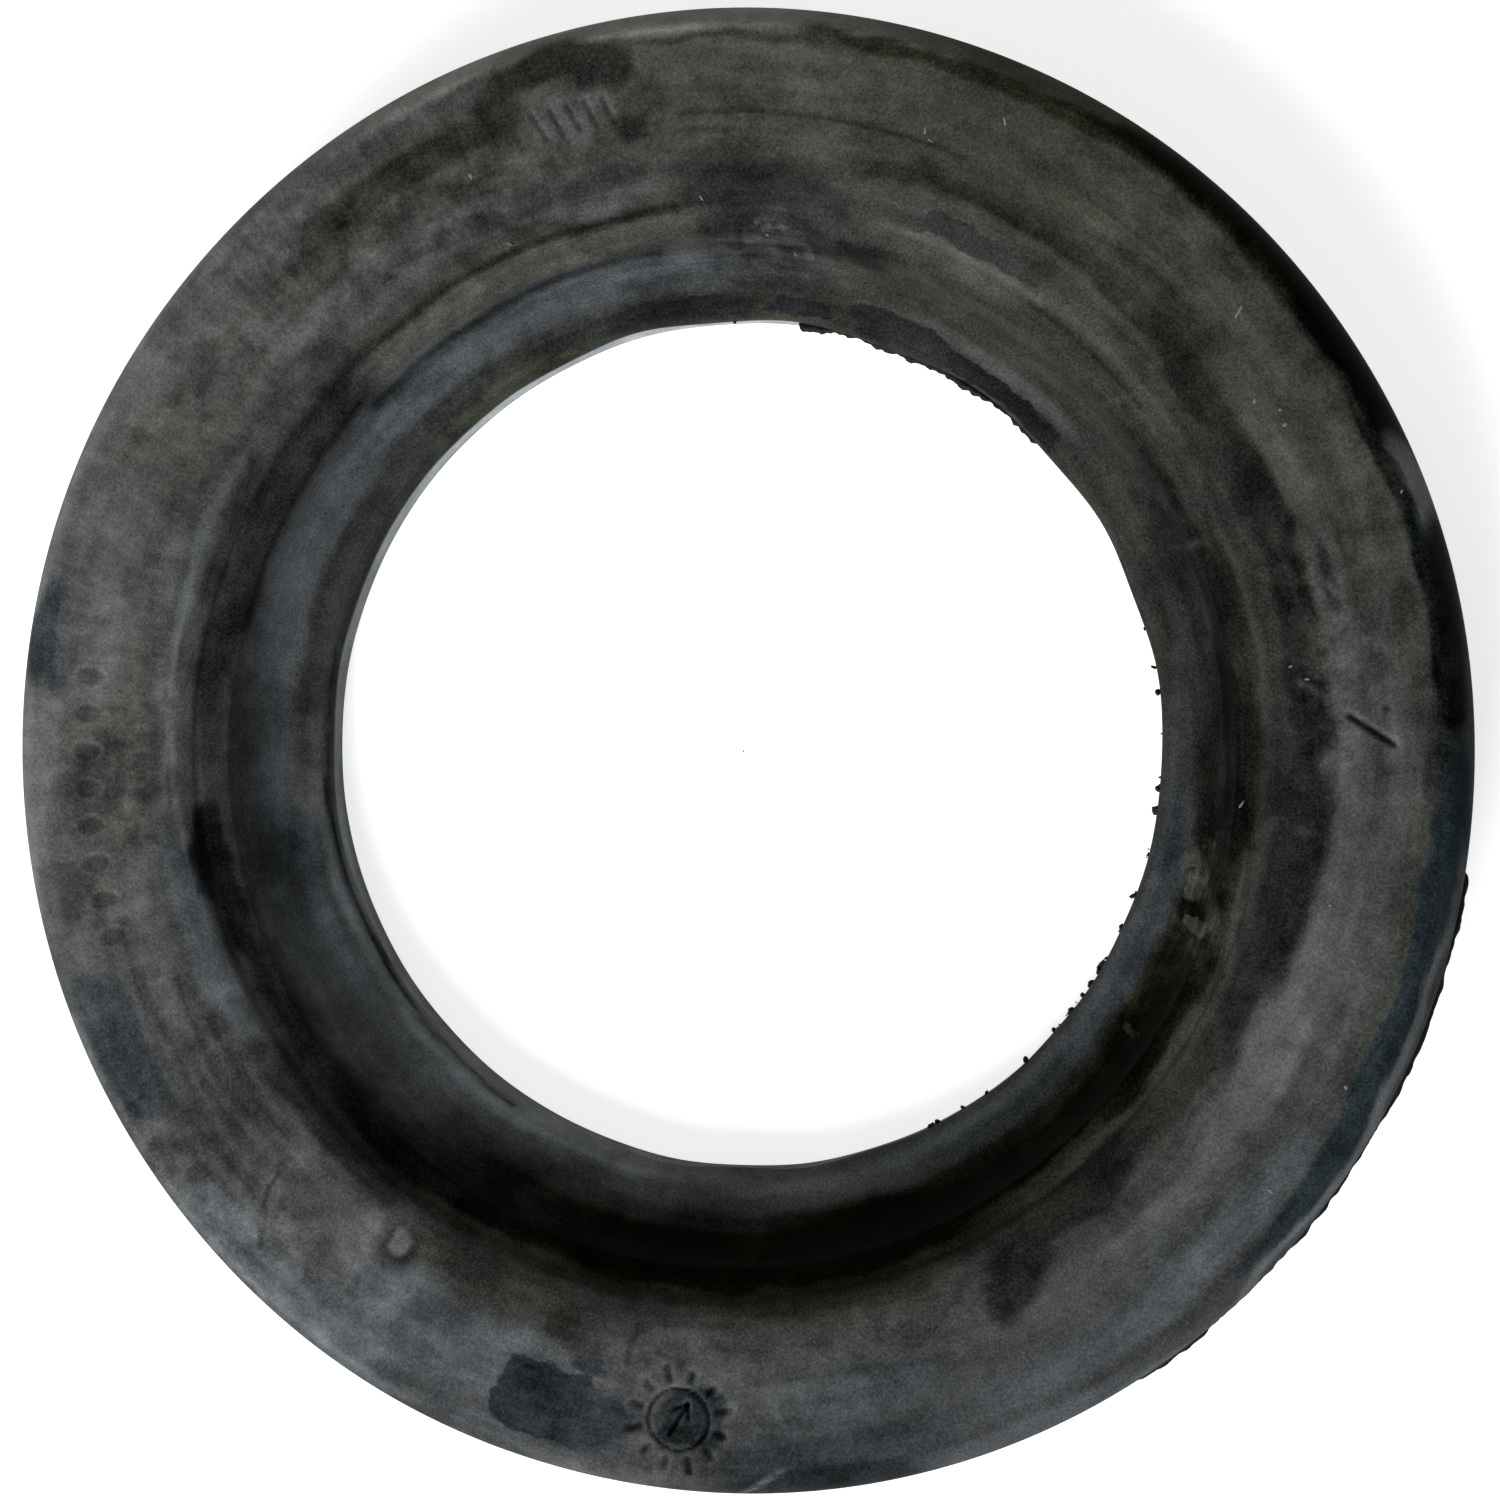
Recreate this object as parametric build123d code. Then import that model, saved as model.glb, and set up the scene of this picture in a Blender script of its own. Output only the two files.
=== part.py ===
# Coil spring insulator: a rubber ring, moulded in one piece, that sits between the end of a
# vehicle's coil spring and its seat. A flange carries the spring, and a collar below it
# locates the spring's end coil from inside. The top side is dished: from the flange a rounded
# brow, a fine step, a sloping shelf and a steep cove lead down to a thin lip round the bore.
#
# Frame: millimetres, Z is the ring's axis, Z = 0 is the collar's end face that it rests on.

import os
from math import acos, asin, cos, radians, sin, tan

from build123d import *

# Bore and lip
bore_diameter = 88.0  # clears the seat's centre post
bore_edge_radius = 2.8  # upper edge of the bore
lip_thickness = 5.7  # at the bore, before its edge is rounded
lip_width = 6.0  # from the bore to the foot of the cove
lip_angle = 17.0  # rise of the lip towards the cove, in degrees

# Dish, from the lip up to the flange
cove_height = 5.4
cove_width = 2.1
cove_radius = 6.0  # where the cove runs into the lip
shelf_width = 2.9
shelf_angle = 30.0  # in degrees
step_width = 0.3
step_height = 0.6
brow_radius = 6.0
brow_height = 1.25  # fall of the rounded brow from the flange's top to the step

# Collar, which the spring's end coil goes over
collar_wall = 5.4  # level, from the foot of the shelf to the collar's outside
lead_in_height = 5.0
lead_in_width = 4.0
root_bevel = 1.2  # 45 degrees, between the collar and the spring seat

# Flange
seat_width = 17.5  # from the collar to the flange's edge
flange_thickness = 5.6
shoulder_radius = 4.8  # rounds the flange's top down to its outer wall
shoulder_height = 4.1

# Radii of the section's corners
bore_radius = bore_diameter / 2
cove_foot_radius = bore_radius + lip_width
shelf_foot_radius = cove_foot_radius + cove_width
shelf_head_radius = shelf_foot_radius + shelf_width
step_head_radius = shelf_head_radius + step_width
brow_turn = acos(1 - brow_height / brow_radius)
brow_head_radius = step_head_radius + brow_radius * sin(brow_turn)
collar_radius = shelf_foot_radius + collar_wall
foot_radius = collar_radius - lead_in_width
flange_radius = collar_radius + seat_width
shoulder_turn = asin(shoulder_height / shoulder_radius)
shoulder_head_radius = flange_radius - shoulder_radius * (1 - cos(shoulder_turn))

# Heights of the section's corners
cove_foot_height = lip_thickness + lip_width * tan(radians(lip_angle))
shelf_foot_height = cove_foot_height + cove_height
shelf_head_height = shelf_foot_height + shelf_width * tan(radians(shelf_angle))
step_head_height = shelf_head_height + step_height
total_height = step_head_height + brow_height
seat_height = total_height - flange_thickness
wall_head_height = total_height - shoulder_height


def half_section() -> Face:
    """The ring's section on one side of its axis: filleted straight runs, the shoulder and the brow."""
    with BuildLine(Plane.XZ) as outline:
        # From the step's head inwards, down the dish, and out under the collar to the flange's edge
        FilletPolyline(
            (step_head_radius, step_head_height),
            (shelf_head_radius, shelf_head_height),
            (shelf_foot_radius, shelf_foot_height),
            (cove_foot_radius, cove_foot_height),
            (bore_radius, lip_thickness),
            (bore_radius, 0),
            (foot_radius, 0),
            (collar_radius, lead_in_height),
            (collar_radius, seat_height - root_bevel),
            (collar_radius + root_bevel, seat_height),
            (flange_radius, seat_height),
            (flange_radius, wall_head_height),
            radius=(0, 0, cove_radius, bore_edge_radius, 0, 0, 0, 0, 0, 0),
        )
        # The shoulder leaves the outer wall smoothly and meets the flange's top at an edge
        RadiusArc(
            (flange_radius, wall_head_height),
            (shoulder_head_radius, total_height),
            -shoulder_radius,
        )
        Line((shoulder_head_radius, total_height), (brow_head_radius, total_height))
        # The brow leaves the flange's top smoothly and is steepest at the step
        RadiusArc(
            (brow_head_radius, total_height),
            (step_head_radius, step_head_height),
            -brow_radius,
        )
    return make_face(outline.edges())


insulator_ring = revolve(half_section(), axis=Axis.Z)

print(f"outside diameter {2 * flange_radius:.2f}, bore {bore_diameter:.2f}, height {total_height:.3f}")
print(f"collar diameter {2 * collar_radius:.2f}, rests on a face {foot_radius - bore_radius:.2f} wide")

os.makedirs("parts", exist_ok=True)
export_step(insulator_ring, "parts/insulator_ring.step")
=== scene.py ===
import bpy
import numpy as np
from mathutils import Matrix, Vector


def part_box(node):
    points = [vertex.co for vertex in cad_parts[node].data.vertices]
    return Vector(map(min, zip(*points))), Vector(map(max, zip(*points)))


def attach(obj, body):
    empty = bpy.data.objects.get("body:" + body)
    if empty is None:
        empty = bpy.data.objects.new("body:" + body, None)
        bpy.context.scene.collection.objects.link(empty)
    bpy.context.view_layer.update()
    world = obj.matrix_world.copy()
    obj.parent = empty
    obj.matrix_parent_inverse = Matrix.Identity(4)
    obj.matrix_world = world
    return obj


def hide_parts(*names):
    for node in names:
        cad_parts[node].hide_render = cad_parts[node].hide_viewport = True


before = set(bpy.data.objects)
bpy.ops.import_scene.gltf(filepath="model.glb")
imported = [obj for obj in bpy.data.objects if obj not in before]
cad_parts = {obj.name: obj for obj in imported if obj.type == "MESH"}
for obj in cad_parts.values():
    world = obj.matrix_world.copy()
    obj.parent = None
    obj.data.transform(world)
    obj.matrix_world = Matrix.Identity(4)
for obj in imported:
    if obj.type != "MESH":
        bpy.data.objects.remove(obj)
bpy.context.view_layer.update()        # one body, "root", with the one node "insulator_ring"


# ---------------------------------------------------------------------------------------------
# The moulded ring. Black natural rubber, pressed and cured in one shot in a two-part mould: a
# flat flange that carries the spring, a collar below it that goes inside the spring, and a top
# that is dished down to a thin lip round the bore. Marks are sunk into the top of the flange.

MM = 0.001
ring_low, ring_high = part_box("insulator_ring")
outer_radius = ring_high.x
total_height = ring_high.z
bore_radius = 44.0 * MM
bore_edge = 2.8 * MM             # how far the bore's upper edge is rounded, as a radius
lip_thickness = 5.7 * MM
lip_foot = 50.0 * MM             # radius where the lip meets the cove
lip_rise = 6.0 * MM * np.tan(np.radians(17.0))
cove_fillet = 6.0 * MM
shelf_foot = 52.1 * MM
shelf_foot_height = lip_thickness + lip_rise + 5.4 * MM
shelf_head = 55.0 * MM
shelf_head_height = shelf_foot_height + 2.9 * MM * np.tan(np.radians(30.0))
step_head = 55.3 * MM
step_head_height = shelf_head_height + 0.6 * MM
brow_radius = 6.0 * MM
collar_radius = 57.5 * MM
foot_radius = 53.5 * MM
lead_in_height = 5.0 * MM
root_bevel = 1.2 * MM
flange_thickness = 5.6 * MM
shoulder_radius = 4.8 * MM
shoulder_height = 4.1 * MM
seat_height = total_height - flange_thickness
worn_edge = 0.35 * MM            # no edge of a moulding is quite sharp
bore_drift = 0.6 * MM            # how far the thin lip is drawn towards +Y


def straight(start, end, steps):
    """Points on the straight run from start to end, without its last point."""
    part = np.linspace(0.0, 1.0, steps, endpoint=False)[:, None]
    return np.array(start) + part * (np.array(end) - np.array(start))


def corner(before, at, after, radius, steps):
    """Points on the arc that rounds a corner: it touches both sides, and its centre lies on the
    line that halves the angle between them, at the radius over the sine of half that angle."""
    at = np.array(at)
    one = np.array(before) - at
    two = np.array(after) - at
    one, two = one / np.linalg.norm(one), two / np.linalg.norm(two)
    half = np.arccos(np.clip(one @ two, -1, 1)) / 2
    middle = (one + two) / np.linalg.norm(one + two)
    centre = at + middle * radius / np.sin(half)
    first = at + one * radius / np.tan(half) - centre
    last = at + two * radius / np.tan(half) - centre
    sweep = np.arccos(np.clip(first @ last / radius**2, -1, 1))
    turn = np.linspace(0.0, 1.0, steps)[:, None]
    blend = np.sin((1 - turn) * sweep) * first + np.sin(turn * sweep) * last
    return centre + blend / np.sin(sweep)


def arc(centre, radius, start, end, steps):
    """Points on an arc about a centre, between two angles in radians from the outward direction."""
    turn = np.linspace(start, end, steps)
    return np.stack([centre[0] + radius * np.cos(turn), centre[1] + radius * np.sin(turn)], axis=1)


def ring_section():
    """The ring's section as one closed run of (radius, height) points, up the bore's wall, out
    over the dish and the flange, and back below. Rounded corners are arcs between straight runs."""
    brow_fall = total_height - step_head_height
    brow_turn = np.arccos(1 - brow_fall / brow_radius)
    brow_head = step_head + brow_radius * np.sin(brow_turn)
    shoulder_turn = np.arcsin(shoulder_height / shoulder_radius)
    shoulder_head = outer_radius - shoulder_radius * (1 - np.cos(shoulder_turn))
    foot = (bore_radius, 0.0)
    bore_top = (bore_radius, lip_thickness)
    cove_foot = (lip_foot, lip_thickness + lip_rise)
    shelf_low = (shelf_foot, shelf_foot_height)
    shelf_high = (shelf_head, shelf_head_height)
    step_top = (step_head, step_head_height)
    lower_edge = (outer_radius, seat_height)
    root_out = (collar_radius + root_bevel, seat_height)
    root_in = (collar_radius, seat_height - root_bevel)
    collar_foot = (collar_radius, lead_in_height)
    rest_out = (foot_radius, 0.0)
    bore_arc = corner(foot, bore_top, cove_foot, bore_edge, 8)
    cove_arc = corner(bore_top, cove_foot, shelf_low, cove_fillet, 11)
    shelf_arc = corner(cove_foot, shelf_low, shelf_high, 0.8 * MM, 4)
    runs = [
        corner(rest_out, foot, bore_top, worn_edge, 3),
        straight(foot, bore_arc[0], 5)[2:],
        bore_arc,
        straight(bore_arc[-1], cove_arc[0], 4)[1:],
        cove_arc,
        straight(cove_arc[-1], shelf_arc[0], 5)[1:],
        shelf_arc,
        straight(shelf_arc[-1], shelf_high, 8)[1:],
        straight(shelf_high, step_top, 3),
        arc((brow_head, total_height - brow_radius), brow_radius,
            np.pi / 2 + brow_turn, np.pi / 2, 9),
        straight((brow_head, total_height), (shoulder_head, total_height), 44)[1:],
        arc((outer_radius - shoulder_radius, total_height - shoulder_height), shoulder_radius,
            shoulder_turn, 0.0, 10),
        corner((outer_radius, total_height), lower_edge, root_out, worn_edge, 3),
        straight(lower_edge, root_out, 5)[1:],
        straight(root_out, root_in, 2),
        straight(root_in, collar_foot, 3),
        corner(root_in, collar_foot, rest_out, worn_edge, 3),
        straight(collar_foot, rest_out, 3)[1:],
        corner(collar_foot, rest_out, foot, worn_edge, 3),
        straight(rest_out, foot, 5)[1:],
    ]
    return np.concatenate(runs)


def ring_angles(stretches):
    """Angles round the ring, in radians. Their spacing is the coarse step, and falls smoothly to
    the fine step over each stretch, given as its middle and half width in degrees."""
    coarse, fine, blend = 0.75, 0.2, 0.7
    way = np.arange(0.0, 360.0, 0.02)
    near = np.zeros_like(way)
    for middle, half in stretches:
        off = np.abs((way - middle + 180) % 360 - 180)
        near = np.maximum(near, np.clip((half + blend - off) / blend, 0, 1))
    count = np.concatenate([[0], np.cumsum(0.02 / (coarse + (fine - coarse) * near))])
    total = int(np.ceil(count[-1]))
    return np.radians(np.interp(np.arange(total) * count[-1] / total, count, np.append(way, 360.0)))


def waves(turn, across, seed, around, over, count=36):
    """A smooth random field of spread about 1: a sum of cosine waves with whole numbers of turns
    up to around, so that it closes on itself, and up to over waves per metre across."""
    draw = np.random.default_rng(seed)
    field = np.zeros(np.broadcast(turn, across).shape)
    for _ in range(count):
        turns = draw.integers(0, around + 1) * draw.choice((-1, 1))
        steep = draw.uniform(0, over) * 2 * np.pi
        field += np.cos(turns * turn + steep * across + draw.uniform(0, 2 * np.pi))
    return field * np.sqrt(2 / count)


def place(angle, radius):
    """The (x, y) of a point on the flange, from its angle in degrees and its radius."""
    return radius * np.cos(np.radians(angle)), radius * np.sin(np.radians(angle))


def to_stroke(x, y, start, end):
    """Distance of each (x, y) from a straight stroke: from its nearest point between the ends."""
    along = np.array(end) - np.array(start)
    part = ((x - start[0]) * along[0] + (y - start[1]) * along[1]) / (along @ along + 1e-18)
    part = np.clip(part, 0, 1)
    return np.hypot(x - start[0] - part * along[0], y - start[1] - part * along[1])


def to_mark(x, y, mark):
    """Distance of each (x, y) from the middle of a mark, given as its angle and radius."""
    middle = place(*mark)
    return np.hypot(x - middle[0], y - middle[1])


def groove(distance, half_width):
    """How deep a groove's round bottom is at a distance from its middle, from 1 down to 0."""
    return np.exp(-(distance / half_width) ** 2 * 1.6)


def ramp(value, start, width):
    """From 0 at the start up to 1 a width further on, straight in between and level beyond. With
    a width below 0 it falls instead, and is 1 before and 0 past the start."""
    return np.clip((value - start) / width, 0, 1)


# Where the marks lie, as angle in degrees and radius. The mould makes a dial of twelve ticks round
# an arrow, a row of dimples, five strokes, a bar with a dot, and a pip. The crack came with use.
dial_mark = (267.3, 67.0 * MM)
dial_ring = 3.1 * MM
tick_start, short_tick, long_tick = 4.1 * MM, 4.9 * MM, 5.4 * MM
row_angles = np.linspace(173.2, 196.8, 8)
row_radius = 66.4 * MM
dimple_half_length, dimple_half_width = 1.6 * MM, 1.0 * MM
top_mark = (101.9, 65.4 * MM)
stroke_half_length = 1.4 * MM
bar_mark = ((3.6, 63.2 * MM), (1.0, 67.4 * MM))
dot_mark = (4.0, 66.8 * MM)
pip_mark = (237.4, 60.1 * MM)
crack_marks = ((223.8, 61.7 * MM), (223.8, 64.6 * MM), (225.0, 67.1 * MM), (226.8, 69.6 * MM))
# Stretches of the ring that get a fine grid, as middle and half width in degrees
fine_stretches = [(dial_mark[0], 5.0), (row_angles.mean(), 13.0), (top_mark[0], 4.6), (2.2, 3.0),
                  (pip_mark[0], 2.8), (225.3, 1.8)]


def mark_depth(x, y, widen=1.0):
    """How far the marks are sunk below the flange at each (x, y), in metres. Strokes have two ends,
    a depth and a half width in mm. The grooves can be widened to find the ground next to them."""
    dial = np.array(place(*dial_mark))
    tip, tail = dial + np.array((0.9, 1.5)) * MM, dial - np.array((0.9, 1.5)) * MM
    strokes = [(tail, tip, 0.42, 0.30), (tip, tip - np.array((1.4, 0.5)) * MM, 0.42, 0.30),
               (tip, tip + np.array((0.1, -1.5)) * MM, 0.42, 0.30)]
    for hour in range(12):
        outward = np.array(place(hour * 30 + 12, 1.0))
        tick_end = short_tick if hour % 3 else long_tick
        strokes.append((dial + tick_start * outward, dial + tick_end * outward, 0.32, 0.48))
    for shift in (-3.2, -1.6, 0.0, 1.6, 3.2):
        low = place(top_mark[0] + shift, top_mark[1] - stroke_half_length)
        high = place(top_mark[0] + shift + 0.8, top_mark[1] + stroke_half_length)
        strokes.append((low, high, 0.22, 0.34))
    strokes.append((place(*bar_mark[0]), place(*bar_mark[1]), 0.45, 0.42))
    for start, end in zip(crack_marks[:-1], crack_marks[1:]):
        strokes.append((place(*start), place(*end), 0.2, 0.22))
    depth = np.zeros_like(x)
    for start, end, deep, half_width in strokes:
        depth += deep * MM * groove(to_stroke(x, y, start, end), half_width * widen * MM)
    depth += 0.36 * MM * groove(np.abs(to_mark(x, y, dial_mark) - dial_ring), 0.26 * widen * MM)
    depth += 0.25 * MM * groove(to_mark(x, y, dot_mark), 0.5 * widen * MM)
    turn = np.arctan2(y, x) % (2 * np.pi)
    across = np.hypot(x, y) - row_radius
    for angle in row_angles:
        along = (turn - np.radians(angle)) * row_radius
        size = np.hypot(along / dimple_half_width, across / dimple_half_length)
        depth += 0.15 * MM * ramp(size, 0.84 + 0.26 * widen, -0.35)
    off = to_mark(x, y, pip_mark)
    depth += 0.55 * MM * (groove(off, 2.5 * widen * MM) - groove(off, 1.6 * MM))
    return depth


def ring_points(section, angles):
    """The ring's surface on a grid of angle by section point: the section turned about the axis,
    with the slight unevenness of soft rubber, and the marks sunk into the flange. The dish and
    the bore wave by 0.1 mm, and the flange's top sags by up to 0.2 mm."""
    turn = angles[:, None]
    radius = np.broadcast_to(section[:, 0], (len(angles), len(section))).copy()
    height = np.broadcast_to(section[:, 1], radius.shape).copy()
    dish = ramp(radius, 59.0 * MM, -4.0 * MM) * ramp(height, 0.0, 3.0 * MM)
    height += dish * 0.11 * MM * waves(turn, radius, seed=3, around=7, over=90)
    bore_side = ramp(radius, 48.0 * MM, -4.0 * MM) * ramp(height, 0.0, 1.0 * MM)
    radius += bore_side * 0.1 * MM * waves(turn, 0 * height, seed=5, around=24, over=0)
    radius += ramp(radius, 48.0 * MM, -3.0 * MM) * bore_drift * np.sin(turn)
    top = ramp(height, seat_height, flange_thickness)
    sag = 0.5 + 0.5 * np.clip(waves(turn, radius, seed=11, around=9, over=60) / 2.2, -1, 1)
    height -= (1 - dish) * top * (0.07 + 0.12 * sag) * MM
    worn = 0.5 + 0.5 * np.clip(waves(turn, 0 * height, seed=13, around=11, over=0) / 2.2, -1, 1)
    radius -= ramp(radius, 72.0 * MM, 3.0 * MM) * 0.1 * MM * worn
    x, y = radius * np.cos(turn), radius * np.sin(turn)
    flat = ramp(radius, 57.0 * MM, 0.5 * MM) * ramp(radius, 72.6 * MM, -0.5 * MM)
    height -= flat * ramp(height, 14.0 * MM, 1.0 * MM) * mark_depth(x, y)
    return np.stack([x, y, height], axis=-1)


def grid_faces(rows, columns, close_first=True, close_second=True):
    """Four-sided faces between the neighbours of a grid of points, as rows of point numbers.
    Either direction can close on itself. Faces look to the side of row step x column step."""
    down = np.arange(rows if close_first else rows - 1)[:, None]
    over = np.arange(columns if close_second else columns - 1)[None, :]
    next_down, next_over = (down + 1) % rows, (over + 1) % columns
    faces = np.stack([down * columns + over, next_down * columns + over,
                      next_down * columns + next_over, down * columns + next_over], axis=-1)
    return faces.reshape(-1, 4)


def closed_grid(name, points, close_first=True, close_second=True):
    """A mesh from a grid of points."""
    faces = grid_faces(*points.shape[:2], close_first, close_second)
    return mesh_piece(name, points.reshape(-1, 3), faces)


def mesh_piece(name, points, faces):
    """A smooth piece from its points and its four-sided faces."""
    mesh = bpy.data.meshes.new(name)
    mesh.vertices.add(len(points))
    mesh.vertices.foreach_set("co", points.reshape(-1).astype(np.float32))
    mesh.loops.add(faces.size)
    mesh.loops.foreach_set("vertex_index", faces.reshape(-1).astype(np.int32))
    mesh.polygons.add(len(faces))
    mesh.polygons.foreach_set("loop_start", np.arange(0, faces.size, 4, dtype=np.int32))
    mesh.polygons.foreach_set("loop_total", np.full(len(faces), 4, dtype=np.int32))
    mesh.update(calc_edges=True)
    mesh.validate()
    mesh.shade_smooth()
    piece = bpy.data.objects.new(name, mesh)
    bpy.context.scene.collection.objects.link(piece)
    return piece


# The bloom: a dull grey film on the black rubber, thick in some places and wiped thin in others.
# Its level is 0 for bare black and 1 for a light grey, its tint -2 for olive and 1 for blue.
# Level and tint also carry painted light and shade: painted shade in the dish below and on the
# right, painted light on the left, painted highlights along the brow, the step and the outer rim,
# and a painted warm cast above.

bloom_over_radius = ((44, .52), (46, .50), (48, .52), (51.4, .50), (52.4, .43), (54.4, .44),
                     (55.5, .50), (58, .56), (61, .63), (64, .66), (71, .68), (74, .70), (75, .64))

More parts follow.
